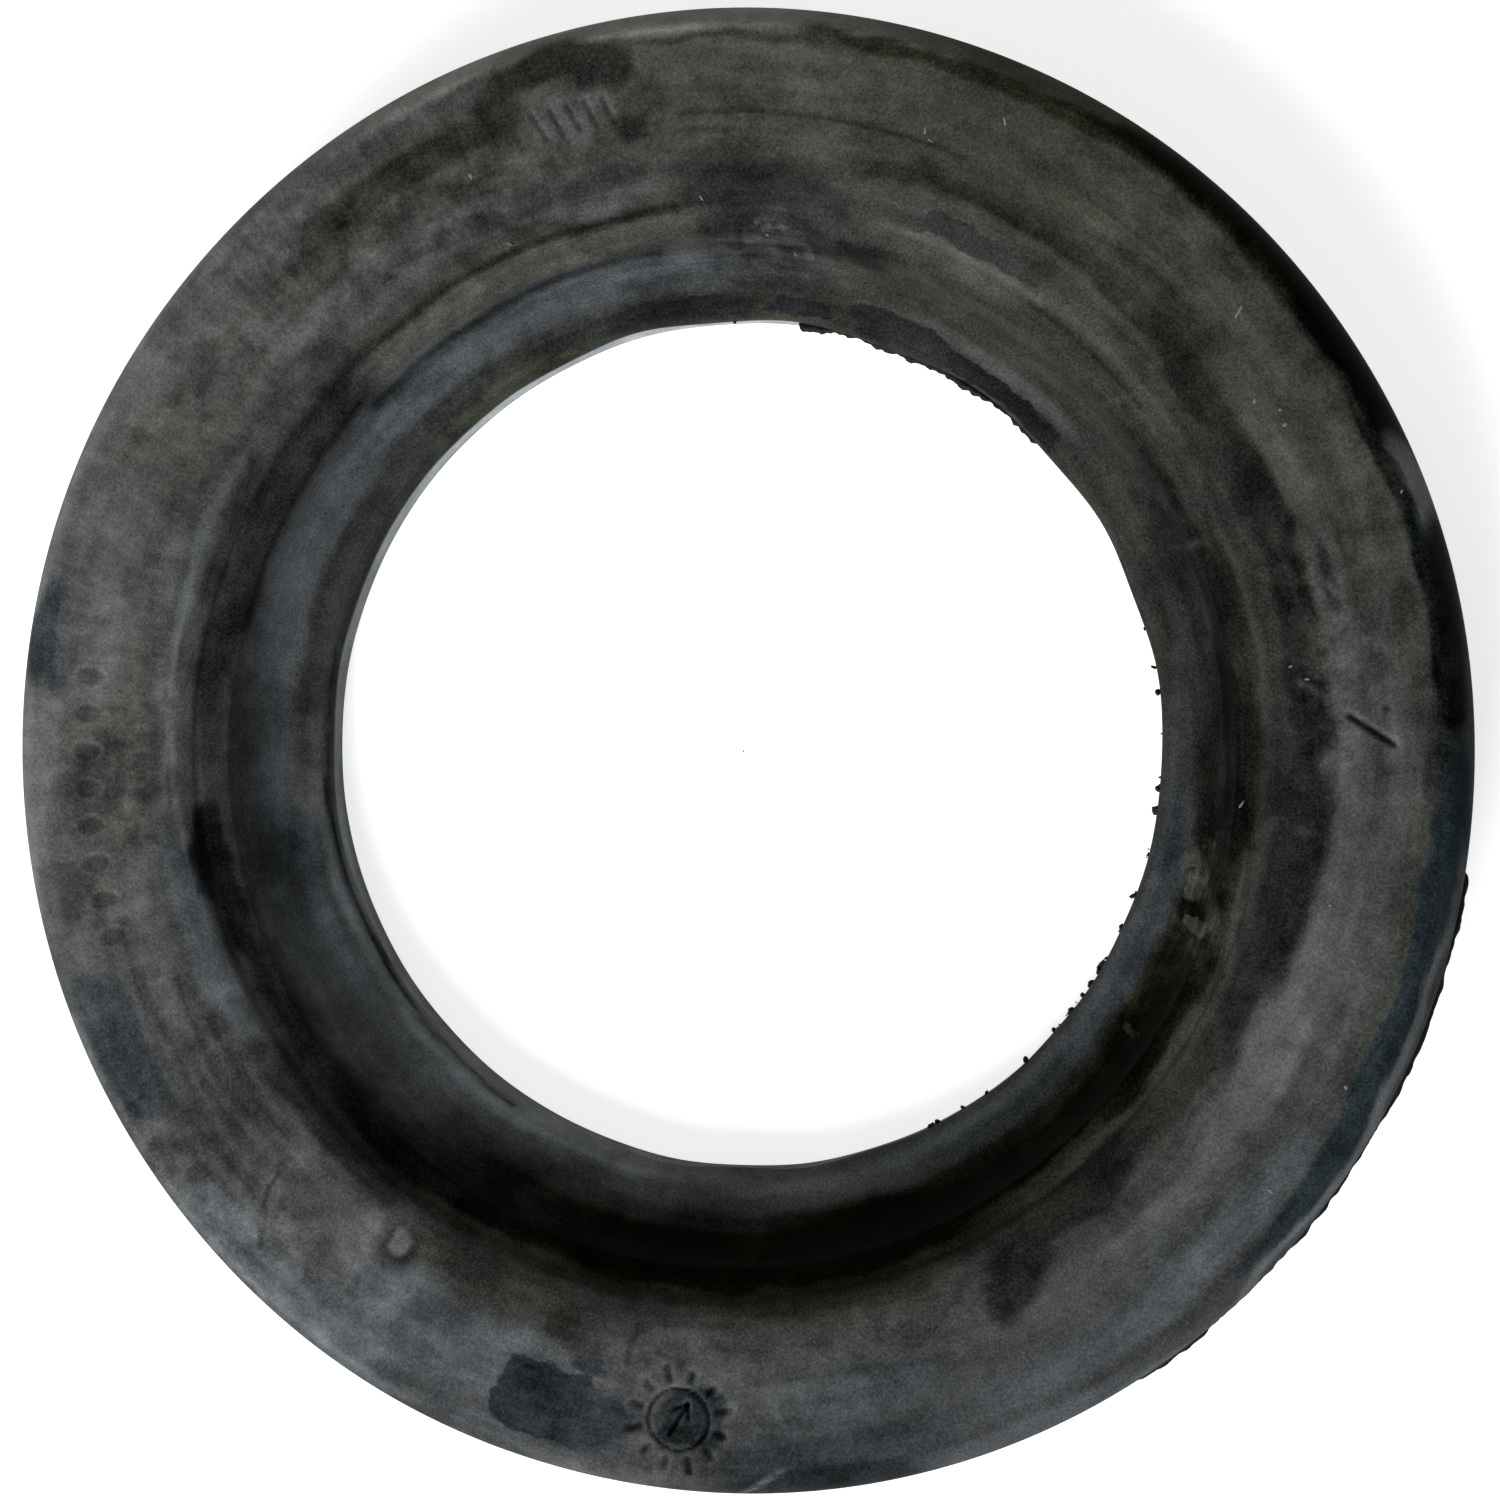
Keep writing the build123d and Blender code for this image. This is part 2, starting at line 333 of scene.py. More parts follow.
# Soft-edged places: angle, radius and half sizes in degrees and mm, then level, tint, how fully
# it covers, and how soft its edge is as a share of its size
washes = (
    # the left half is lighter than the right, most of all on its shoulder: bloom and painted light from
    # the lamp on the left
    (165, 66.0, 75, 9.0, .73, -.3, .8, .5), (10, 71.0, 62, 2.2, .50, -.5, .85, .35),
    (140, 74.0, 64, 2.0, 1.16, -.2, .9, .3), (100, 73.8, 18, 1.2, 1.34, -.2, .8, .4),
    (139, 73.0, 6, 1.9, 1.46, -.2, .85, .4), (168, 71.6, 70, 1.7, .86, -.15, .75, .5),
    (180, 57.5, 45, 2.5, .68, .0, .7, .4), (130, 49.8, 55, 2.2, .66, .1, .7, .5),
    # the dish: black below, bare rubber and painted shade where the brow shades it; lighter and bluer
    #  on the lower left and at the bore's edge, painted light
    (284, 51.5, 60, 3.0, .00, -2.0, 1.0, .50), (290, 49.6, 42, 1.7, .06, -1.8, .9, .5),
    (282, 54.9, 58, .8, .42, -.8, .8, .5), (333, 54.6, 22, .9, .60, -.3, .8, .4),
    (232, 52.6, 14, 1.6, .10, .0, .95, .35), (240, 50.6, 13, 1.6, .20, -.4, .85, .5),
    (210, 52.9, 11, 1.2, .32, .0, .85, .35), (309, 53.6, 9, 1.0, .46, -.7, .8, .5),
    (321, 53.6, 4, 1.2, .12, -1., .9, .3), (312, 48.7, 13, .8, .30, -.5, .8, .5),
    (341, 46.9, 9, 1.0, .28, .2, .8, .5), (340, 49.4, 3.5, 2.2, .42, -.5, .7, .5),
    (190, 51.0, 14, 1.8, .74, .1, .8, .5), (205, 54.9, 9, .7, .52, .0, .7, .5),
    (350, 51.2, 17, 3.0, .12, -.9, .9, .45), (18, 53.2, 24, 1.7, .28, -.6, .85, .35),
    (14, 50.6, 28, 2.2, .28, -.3, .8, .5), (0, 51.7, 15, .8, .06, -.8, .8, .5),
    (55, 51.4, 17, 3.2, .50, -.5, .85, .35), (77, 53.0, 5.5, 1.6, .20, -.3, .8, .5),
    (84, 56.3, 8, 3.2, .34, -.1, .85, .5), (80, 53.4, 3, .8, .22, .0, .8, .4),
    (86, 50.6, 7, 3.0, .36, .0, .8, .5), (112, 53.1, 21, 1.45, .71, -.5, .95, .2),
    (153, 53.4, 19, 1.35, .36, .1, .9, .4), (178, 53.6, 9, 1.7, .56, -.1, .8, .4),
    (135, 49.6, 46, 1.9, .72, .3, .85, .4), (127, 49.1, 9, 1.0, .86, .3, .7, .6),
    (170, 49.4, 22, 2.1, .80, .2, .85, .35), (140, 46.6, 30, 1.1, .47, -.3, .85, .35),
    (211, 48.4, 24, 3.0, .96, .3, .9, .4), (250, 46.8, 12, 2.2, .74, .3, .8, .5),
    (281, 46.2, 22, 1.7, .68, .2, .85, .4), (330, 46.2, 33, 1.7, .50, .4, .85, .4),
    (194, 48.5, 6, 3.0, .62, .3, .7, .5), (252, 45.0, 84, 1.0, .80, .2, .85, .5),
    (196, 45.4, 10, .9, .62, .1, .85, .5), (226, 44.3, 36, 1.1, 1.35, .2, .9, .5),
    (266, 48.6, 14, .9, .46, .2, .7, .5), (56, 47.6, 12, 1.0, .74, -.1, .85, .5),
    (96, 45.2, 10, 1.0, .34, -.1, .8, .4),
    # the shoulder: painted shade on the right, which turns from the lamp, and a painted highlight
    #  along the outer rim at the lower right
    (88, 74.0, 12, 1.3, 1.2, -.3, .85, .5), (55, 72.5, 13, 1.1, .22, -1.3, .9, .3),
    (70, 72.4, 11, .7, .32, -1.1, .85, .3), (88, 71.4, 8, .4, .40, -.6, .7, .3),
    (42, 73.6, 13, 1.9, .05, -1.5, .95, .3), (28, 73.6, 7, 2.1, .01, -.4, .97, .18),
    (11, 73.3, 10, 1.8, .02, .5, .95, .18), (20.5, 74.3, 4.0, 1.1, 1.2, .0, .85, .4),
    (23.5, 71.9, 4, .9, .16, -.3, .9, .2), (30, 71.8, 5, .5, .40, -.4, .7, .4),
    (338, 73.0, 21, 1.5, .40, .9, .95, .15), (356, 73.4, 5, 1.7, .24, 1., .9, .25),
    (279, 74.0, 8, 1.8, .26, .4, .85, .25), (277, 70.8, 12, 1.8, .56, .6, .85, .4),
    (0, 71.5, 4, 1.5, .22, .2, .85, .3), (296, 73.9, 8, 1.2, .80, .2, .7, .4),
    (326, 74.8, 23, .45, 1.0, .1, .9, .5),
    # the brow and the inner flange, darker on the right: bloom and painted shade on the side turned from
    # the lamp
    (10, 59.6, 9, 2.2, .28, -.4, .9, .25), (25, 60.0, 6, 2.3, .33, -.4, .9, .25),
    (36, 60.2, 5, 1.8, .36, -.5, .85, .3), (55, 61.1, 16, 1.2, .36, -.5, .8, .3),
    (10, 56.3, 22, 1.2, .38, -.4, .8, .4), (346, 58.6, 17, 2.9, .30, -.2, .92, .18),
    (326, 57.4, 7, 1.5, .40, -.5, .8, .3), (311, 57.2, 8, 1.9, .28, -.5, .9, .2),
    (321, 56.6, 4, .8, .50, -.4, .7, .4), (301, 59.6, 3.8, 2.9, .24, -.4, .9, .4),
    (280, 59.4, 19, 2.7, .64, -.3, .9, .2), (282, 56.6, 14, 1.0, .52, -.6, .8, .3),
    (248, 58.8, 11, 3.1, .44, -.5, .9, .22), (224, 56.2, 10, 1.3, .40, .0, .9, .2),
    (68, 58.2, 8, 1.0, .72, -.4, .75, .4), (64, 54.4, 12, 1.2, .74, -.3, .75, .4),
    (31, 54.2, 8, 1.0, .62, -.3, .7, .4),
    # the brow on the left, with light bands: painted highlights on the brow, and painted light on the
    #  step's shaded riser
    (209, 57.2, 6, 2.2, .96, .2, .8, .25), (196, 57.6, 7.5, 1.9, .82, .35, .85, .2),
    (168, 57.9, 16, .7, .90, .1, .85, .35), (160, 56.0, 12, .8, .40, .0, .9, .4),
    (178, 55.2, 11, .5, .72, .0, .8, .4), (181, 58.6, 7, .8, .58, .0, .7, .4),
    (176, 55.9, 13, .9, .80, .0, .85, .4), (169, 54.6, 3, .7, .62, .1, .8, .4),
    (125, 58.5, 28, 2.0, .64, .2, .6, .5), (101, 56.7, 6, .9, .78, .0, .8, .4),
    (191, 54.4, 5, 1.5, .24, .4, .92, .15), (200, 53.7, 8, 1.0, .26, .3, .85, .3),
    (192, 49.0, 4.2, 3.0, .56, .4, .6, .5), (214.5, 57.4, 3, 1.5, .50, -.1, .8, .3),
    (299.5, 61.6, 2.4, 2.0, .36, -.4, .85, .45), (303.5, 59.2, 4, 2.1, .28, -.4, .85, .45),
    # the flange, olive above and blue below: painted warm light above and cool light below, over the
    #  bloom's own tint
    (60, 66.5, 40, 4.4, .60, -.6, .7, .5), (206, 70.1, 6.5, 3.4, .54, .5, .9, .25),
    (198.5, 72.7, 4, 2.1, .72, .1, .8, .4), (169, 74.0, 3, .9, .96, .0, .7, .4),
    (214, 65.0, 8, 2.6, .50, .0, .85, .35), (232, 71.5, 12, 3.2, .84, .4, .8, .3),
    (244, 66.0, 10, 5.0, .86, .4, .75, .4), (184, 72.0, 9, 2.5, 1.0, .0, .8, .4),
    (192, 70.4, 5, 1.0, .66, -.1, .7, .5), (170, 71.9, 4, 2.6, .54, .4, .85, .25),
    (346, 63.6, 40, 1.5, .92, -.1, .8, .5), (200, 62.8, 8, 1.6, .92, .0, .75, .5),
    (332, 61.6, 6, 1.6, .96, -.1, .7, .5), (272, 63.8, 7, 1.0, .84, .1, .7, .5),
    (345, 66.6, 20, 3.4, .68, .1, .6, .5), (330, 64.0, 6, 1.2, .98, -.1, .7, .5),
    (128, 60.6, 10, 1.5, .88, -.1, .8, .4), (140, 64.0, 5, 1.6, .84, -.1, .7, .4),
    (161, 60.2, 5, 1.1, .88, .0, .8, .4), (170, 70.0, 3, .9, .80, .0, .8, .4),
    (209, 66.2, 4, 1.2, .80, .0, .7, .4), (211, 62.0, 4, 1.2, .86, .0, .7, .4),
    (221, 68.0, 4, 1.2, .86, .1, .8, .4), (231, 72.4, 6, 1.2, 1.0, .2, .7, .4),
    (110, 71.8, 2.5, .9, .58, -.4, .7, .4), (70, 60.2, 4, .9, .38, -.5, .8, .4),
    (48, 63.2, 7, 1.3, .44, -.5, .7, .5), (90, 51.8, 3.4, .9, .40, .0, .8, .5),
    (314, 69.8, 18, 1.6, .88, .4, .8, .5), (229, 61.0, 4, 2.4, .90, .0, .8, .4),
    (267.6, 67.1, 5.0, 5.6, .66, -.2, .8, .3), (267.5, 67.0, 2.5, 2.9, .32, .5, .9, .15),
    (260.0, 68.4, 3.6, 2.9, .46, .5, .9, .4), (213, 60.4, 9, 1.8, .48, .0, .7, .4),
    (137, 70.5, 10, 3.0, .88, -.1, .7, .5), (250, 72.4, 5, .8, .86, .4, .8, .3),
    (42, 63.0, 12, 1.2, .50, -.5, .7, .5), (166, 66.0, 9, 3.4, .92, .0, .6, .5),
    # handled places at the top and upper left
    (118, 66.8, 9.0, 2.0, .46, -.6, .9, .3), (102.4, 70.6, 6.6, 1.7, .38, -.5, .9, .22),
    (98.2, 69.2, 2.9, 2.3, .32, -.4, .9, .12), (110, 63.8, 3, .8, .52, -.4, .7, .5),
    (109.4, 68.4, 1.7, 3.4, .42, -.5, .85, .3), (96.4, 62.6, .9, 1.6, .44, -.3, .8, .3),
    (102.2, 65.2, 4.8, 2.6, .70, -.2, .85, .3), (131, 66.6, 2.5, .9, .46, -.3, .7, .5),
    (146, 67.0, 2.5, 1.2, .50, -.3, .6, .6), (122, 71.5, 4, 1.4, .62, -.3, .6, .5),
    (111, 70.6, 1.7, 1.1, .76, .0, .7, .4), (86, 68.5, 8.5, 2.6, .76, -.5, .8, .2),
    (237.0, 60.1, 3.1, 2.7, .40, -.2, .8, .5), (237.5, 60.1, 1.6, 1.4, 1.0, .1, 1.0, .35),
    (16, 63.6, 3.4, .6, .50, -.2, .8, .4),
)

# Places wiped bare, with a crisp and ragged edge: angle, radius, half sizes, level inside, tint
bare_places = (
    (255.2, 67.9, 4.1, 3.8, .44, .6), (258.6, 62.7, 1.7, .8, .54, .4), (9.2, 45.8, .5, .3, .70, -.2),
    (52.5, 45.3, 9.8, 1.2, .27, -.4), (67.0, 45.7, 7.0, 1.9, .36, .1), (96.0, 45.9, 5.0, 0.8, .28, .0),
    (109, 45.8, 6.2, 0.7, .34, .0), (80.5, 45.6, 4.2, 1.0, .27, .0), (62, 57.0, 7.0, 1.2, .48, -.2),
    (83.4, 52.9, 1.2, .3, .56, -.2), (79.8, 51.0, .5, .7, .58, -.2), (341.0, 50.6, 1.0, 1.3, .62, -.6),
    (344.6, 49.4, 1.2, 1.1, .62, -.5), (347.6, 48.5, 1.1, .7, .56, -.5), (338.4, 49.0, .7, .8, .38, -.6),
    (326.4, 49.8, .5, .9, .40, -.5), (342.4, 52.6, .8, .8, .44, -.5), (349.4, 50.2, .5, .5, .38, -.5),
)

# Lines and smears along the ring: angle and radius of both ends, half width, level, how fully.
# The light lines along the step from 33 to 72 degrees and along the brow from 161 to 190 degrees
# are painted highlights.
smears = (
    (66, 64.0, 93, 64.0, .28, .38, .9), (43, 66.2, 56, 66.2, .25, .48, .6),
    (82, 62.2, 96, 62.2, .25, .48, .6), (94, 54.8, 152, 54.75, .34, .28, .9),
    (38, 54.7, 54, 54.7, .25, .28, .8), (97, 51.3, 136, 51.2, .30, .32, .85),
    (53, 55.35, 72, 55.35, .42, .78, .9), (33, 55.9, 53, 55.9, .60, .72, .8),
    (272, 57.4, 298, 57.4, .5, .60, .8), (40, 59.0, 62, 59.7, .35, .68, .8),
    (62, 59.7, 74, 58.2, .35, .70, .8), (60, 47.7, 74, 47.7, .25, .70, .9),
    (3, 62.4, 32, 62.4, .4, .78, .6), (298, 65.3, 352, 65.3, .35, .80, .6),
    (230, 64.6, 262, 64.6, .3, .80, .5), (0, 55.3, 40, 55.3, .35, .54, .7),
    (136, 52.0, 166, 52.0, .28, .26, .85), (326, 55.8, 334, 55.8, .5, .62, .8),
    (161, 57.8, 171, 57.5, .28, .96, .8), (170, 57.5, 190, 56.6, .32, 1.0, .9),
    (339, 55.2, 344, 50.8, .7, .50, .7), (343, 52.2, 349, 47.8, .6, .60, .8),
    (338, 52.0, 341.5, 47.8, .6, .42, .7), (343, 54.6, 350, 53.9, .45, .60, .8),
    (351, 54.0, 353, 56.4, .4, .58, .7), (352.5, 61.5, 353.2, 57.5, .25, .6, .7),
    (6.0, 61.4, 7.5, 58.8, .3, .80, .8), (22.5, 53.6, 24.0, 50.2, .25, .60, .7),
    (40.0, 55.6, 41.0, 52.0, .3, .62, .6), (122.5, 62.5, 121.0, 73.0, .35, .80, .5),
    (133.0, 63.0, 132.0, 74.0, .5, .88, .5), (148.0, 62.0, 149.0, 74.0, .8, .90, .5),
    (160.5, 60.0, 160.0, 72.0, .5, .92, .5), (176.0, 70.0, 178.0, 74.5, .6, 1.1, .6),
    (224.0, 73.5, 226.5, 68.0, .5, .96, .5), (240.5, 72.8, 243.0, 66.0, .6, .94, .4),
    (272.6, 74.6, 276.4, 71.8, .3, 1.1, .7), (262.0, 61.8, 262.4, 58.0, .3, .36, .7),
    (223.8, 61.7, 223.8, 64.6, .18, .40, .7), (223.8, 64.6, 225.0, 67.1, .22, .30, .8),
    (225.0, 67.1, 226.8, 69.6, .2, .38, .7), (110.6, 62.8, 113.4, 62.4, .25, .44, .7),
    (127.0, 69.4, 129.5, 66.6, .3, .50, .6), (188.0, 60.2, 189.6, 58.4, .3, .46, .6),
    (207.0, 60.8, 208.4, 59.0, .3, .44, .6), (289.0, 62.6, 296.0, 58.4, .35, .48, .5),
    (208, 59.9, 222, 59.7, .35, .40, .85), (203, 61.2, 214, 62.3, .4, .46, .75),
    (203, 63.2, 212, 64.4, .5, .88, .5), (212, 64.4, 221, 64.9, .45, .88, .5),
    (214, 58.3, 234, 58.4, .3, .80, .8), (196, 64.9, 210, 66.3, .35, .52, .6),
    (166, 44.3, 198, 44.2, .12, .30, .65), (184, 44.25, 214, 44.25, .14, .16, .7),
    (207, 44.2, 238, 44.3, .12, .28, .65), (14.4, 64.0, 16.6, 62.2, .35, .84, .7),
    (-0.4, 60.6, 0.7, 62.4, .3, .82, .7), (16.4, 48.9, 17.4, 48.2, .22, .64, .8),
    (256.5, 63.2, 261.0, 64.6, .4, .86, .8),
)

# Places where the mottling is strongest: angle, radius, half sizes
most_mottled = ((84, 52.5, 6, 2.6), (346, 51.0, 9, 4.0), (10, 61.5, 9, 2.6))


def cloud(turn, across, seed, cells, cell, octaves=3):
    """A smooth random field between about -1 and 1: random values on a lattice of so many cells
    round the ring, and of one cell size across it, blended by smooth steps. Each further octave
    has cells half as large and counts half as much."""
    draw = np.random.default_rng(seed)
    field = 0
    for octave in range(octaves):
        lattice = draw.uniform(-1, 1, (cells, 64))
        around = np.asarray(turn) / (2 * np.pi) * cells
        over = np.asarray(across) / cell
        low_around, low_over = np.floor(around).astype(int), np.floor(over).astype(int)
        part_around, part_over = around - low_around, over - low_over
        part_around = part_around ** 2 * (3 - 2 * part_around)
        part_over = part_over ** 2 * (3 - 2 * part_over)
        corners = [lattice[(low_around + i) % cells, (low_over + j) % 64]
                   for i in (0, 1) for j in (0, 1)]
        near = corners[0] * (1 - part_over) + corners[1] * part_over
        far = corners[2] * (1 - part_over) + corners[3] * part_over
        field = field + (near * (1 - part_around) + far * part_around) * 0.5 ** octave
        cells, cell = cells * 2, cell / 2
    return field


def place_size(turn, radius, angle, middle, half_angle, half_width, power=3):
    """1 at the edge of a place and 0 at its middle: the two offsets, each over its half size, are
    raised to a power, summed, and the root is taken. Power 2 is an oval, and 6 nearly a box."""
    off = (np.degrees(turn) - angle + 180) % 360 - 180
    around, over = np.abs(off) / half_angle, np.abs(radius - middle) / half_width
    return (around ** power + over ** power) ** (1 / power)


def paint_bloom_and_light(turn, radius):
    """The level and tint of the bloom and of painted light and shade on the ring's top at each turn
    (radians) and radius (mm), and how far inside a bare place each point lies (mm) with that
    place's own level. Washes are blended on one after another, and their edges wander with a cloud."""
    wander = cloud(turn, radius, 21, 60, 5.0)
    drift = cloud(turn, radius, 22, 60, 5.0)
    far_turn = turn + 0.030 * wander
    far_radius = radius + drift * np.interp(radius, (50, 57), (0.3, 0.75))
    radii, levels = np.transpose(bloom_over_radius)
    level = np.interp(far_radius, radii, levels)
    # the tint turns olive towards the top of the ring: a painted warm cast of light from above
    tint = 0.25 * cloud(turn, radius, 23, 12, 14.0) - 0.26 * (1 + np.cos(turn - np.radians(85.0)))
    for angle, middle, half_angle, half_width, grey, hue, cover, soft in washes:
        size = place_size(far_turn, far_radius, angle, middle, half_angle, half_width)
        part = np.clip((1 + soft - size) / (2 * soft), 0, 1)
        part = cover * part * part * (3 - 2 * part)
        level, tint = level + part * (grey - level), tint + part * (hue - tint)
    near_turn, near_radius = turn + 0.010 * wander, radius + 0.22 * drift
    line_radius = radius + 0.10 * drift
    for first, low, last, high, half_width, grey, cover in smears:
        middle = (low + high) / 2
        centre = (first + last) / 2
        off = np.radians((np.degrees(near_turn) - centre + 180) % 360 - 180) * middle
        half = np.radians((last - first) / 2) * middle
        distance = to_stroke(off, line_radius, (-half, low), (half, high))
        part = cover * groove(distance, 1.3 * half_width)
        level = level + part * (grey - level)
    inside, bare_level = np.full(level.shape, -3.0), np.full(level.shape, 0.3)
    for angle, middle, half_angle, half_width, grey, hue in bare_places:
        size = place_size(near_turn, near_radius, angle, middle, half_angle, half_width, 6)
        depth = (1 - size) * half_width
        bare_level = np.where(depth > inside, grey, bare_level)
        inside = np.maximum(inside, depth)
        part = np.clip((1.1 - size) / 0.2, 0, 1)
        tint = tint + part * (hue - tint)
    level = level + 0.05 * cloud(turn, radius, 24, 36, 9.0)
    level = level + 0.05 * cloud(turn, radius, 25, 40, 1.4, 2)
    return level, np.clip(tint, -2, 1), inside, bare_level


def ring_bloom_and_light(section, angles):
    """The fields on the ring's grid: the level, tint, bare depth and bare level of the top, how mottled
    it is, and how far wiping streaks run outwards rather than round. Dirt and painted shade darken
    the grooves of the marks by their depth, and their lips are rubbed pale. The bore's wall gets
    painted light, lighter towards the upper left, the outer wall a painted highlight at the lower
    right, and the underside its own level."""
    turn = angles[:, None]
    radius = np.broadcast_to(section[:, 0] / MM, (len(angles), len(section)))
    height = np.broadcast_to(section[:, 1] / MM, radius.shape)
    level, tint, inside, bare_level = paint_bloom_and_light(turn, radius)
    x, y = radius * MM * np.cos(turn), radius * MM * np.sin(turn)
    sunk = mark_depth(x, y) / MM
    lips = np.maximum(mark_depth(x, y, widen=1.9) / MM - np.maximum(sunk, 0), 0)
    on_top = (radius > 57) & (height > 15)
    # dirt and painted shade in the grooves, darker where deeper; lips rubbed pale
    level = level + on_top * (0.9 * lips - 0.95 * sunk)
    seat, shoulder_foot = seat_height / MM, (total_height - shoulder_height) / MM
    bore_wall = (radius < bore_radius / MM + 0.6) & (height < 3.6)
    outer_wall = (radius > outer_radius / MM - 0.4) & (height < shoulder_foot + 0.04)
    below = (height < seat + 0.04) & (radius > 52) | (height < 0.5)
    degrees = np.degrees(turn)
    # outer wall: bloom, with a painted highlight at the lower right where the rim catches light
    outer_wall_bloom_and_painted_highlight = 0.5 + 0.35 * np.exp(-((degrees - 325 + 180) % 360 - 180) ** 2 / 500)
    # bore's wall: painted light, lighter towards the upper left, far above the bloom's level
    wall = 1.45 + 0.3 * np.cos(turn - np.radians(130)) + 0.1 * cloud(turn, height, 27, 90, 2.0)
    side = 0.5 + 0.06 * cloud(turn, radius, 26, 40, 8.0)
    level = np.select([bore_wall, outer_wall, below], [wall, outer_wall_bloom_and_painted_highlight, side], level)
    tint = np.where(bore_wall | below, 0.1, tint)
    inside = np.where(bore_wall | outer_wall | below, -3.0, inside)
    mottled = np.interp(degrees, (0, 60, 95, 112, 160, 225, 245, 275, 300, 360),
                        (.70, .55, .75, .95, .85, 1.05, .75, .7, .55, .70))
    mottled = mottled * np.interp(radius, (50, 56, 60, 72, 75), (.75, .8, 1.0, 1.0, .8))
    mottled = mottled * (1 + 0.35 * cloud(turn, radius, 28, 16, 12.0, 2))
    for angle, middle, half_angle, half_width in most_mottled:
        size = place_size(turn, radius, angle, middle, half_angle, half_width, 2)
        mottled = mottled + 0.9 * np.exp(-size ** 2)
    brushed = np.interp(degrees, (0, 95, 112, 185, 215, 240, 360), (.1, .2, .75, .65, .4, .15, .1))
    brushed = brushed * np.clip((radius - 57) / 3, 0.15, 1)
    return level, tint, inside, bare_level, mottled, brushed


section = ring_section()
angles = ring_angles(fine_stretches)
ring = closed_grid("moulded_ring", ring_points(section, angles)[:, ::-1])
# the "bloom" field holds the bloom's level together with painted light and shade
fields = ("bloom", "tint", "bare", "bare_bloom", "mottled", "brushed")
for field, values in zip(fields, ring_bloom_and_light(section, angles)):
    layer = ring.data.attributes.new(field, "FLOAT", "POINT")
    layer.data.foreach_set("value", values[:, ::-1].reshape(-1).astype(np.float32))
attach(ring, "root")
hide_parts("insulator_ring")


class Wiring:
    """Adds nodes to a node tree and joins them. A value given for a socket may be a number, a
    colour, or another node's output."""

    def __init__(self, tree):
        self.tree = tree

    def node(self, kind, values=(), **settings):
        made = self.tree.nodes.new("ShaderNode" + kind)
        for name, value in settings.items():
            setattr(made, name, value)
        self.fill(made, values)
        return made

    def fill(self, node, values):
        for socket, value in dict(values).items():
            if isinstance(value, bpy.types.NodeSocket):
                self.tree.links.new(value, node.inputs[socket])
            else:
                node.inputs[socket].default_value = value

    def math(self, operation, *values, clamp=False):
        made = self.node("Math", dict(enumerate(values)), operation=operation, use_clamp=clamp)
        return made.outputs[0]

    def vector(self, operation, *values):
        made = self.node("VectorMath", dict(enumerate(values)), operation=operation)
        return made.outputs["Value" if operation == "LENGTH" else "Vector"]

    def mix(self, part, one, two):
        return self.math("ADD", one, self.math("MULTIPLY", part, self.math("SUBTRACT", two, one)))


def rubber_grain():
    """The grain of moulded rubber, shared by every rubber piece: a fine fleck and a coarser
    mottle, each swinging about 0, and a height for the bump."""
    tree = bpy.data.node_groups.new("rubber_grain", "ShaderNodeTree")
    for name in ("Fleck", "Mottle", "Height"):
        tree.interface.new_socket(name, in_out="OUTPUT", socket_type="NodeSocketFloat")
    wires = Wiring(tree)
    spot = wires.node("TexCoord").outputs["Object"]
    fine = wires.node("TexNoise", {"Vector": spot, "Scale": 4200.0, "Detail": 1.0, "Roughness": 0.5})
    coarse = wires.node("TexNoise", {"Vector": spot, "Scale": 380.0, "Detail": 3.0, "Roughness": 0.65})
    fleck = wires.math("SUBTRACT", fine.outputs[0], 0.5)
    mottle = wires.math("SUBTRACT", coarse.outputs[0], 0.5)
    height = wires.math("ADD", wires.math("MULTIPLY", fleck, 0.35), mottle)
    out = tree.nodes.new("NodeGroupOutput")
    wires.fill(out, {"Fleck": fleck, "Mottle": mottle, "Height": height})
    return tree


grain_group = rubber_grain()


def grain(wires):
    """One use of the shared grain group."""
    made = wires.tree.nodes.new("ShaderNodeGroup")
    made.node_tree = grain_group
    return made.outputs


def grey_of(wires, level):
    """The brightness of a bloom level: even steps of level look like even steps of grey."""
    evenly = wires.math("MULTIPLY_ADD", wires.math("MAXIMUM", level, 0.0), 0.3717, 0.0521)
    return wires.math("POWER", evenly, 2.4)


def new_material(name):
    """A new material, the wiring of its nodes, and its shader."""
    material = bpy.data.materials.new(name)
    material.use_nodes = True
    return material, Wiring(material.node_tree), material.node_tree.nodes["Principled BSDF"]


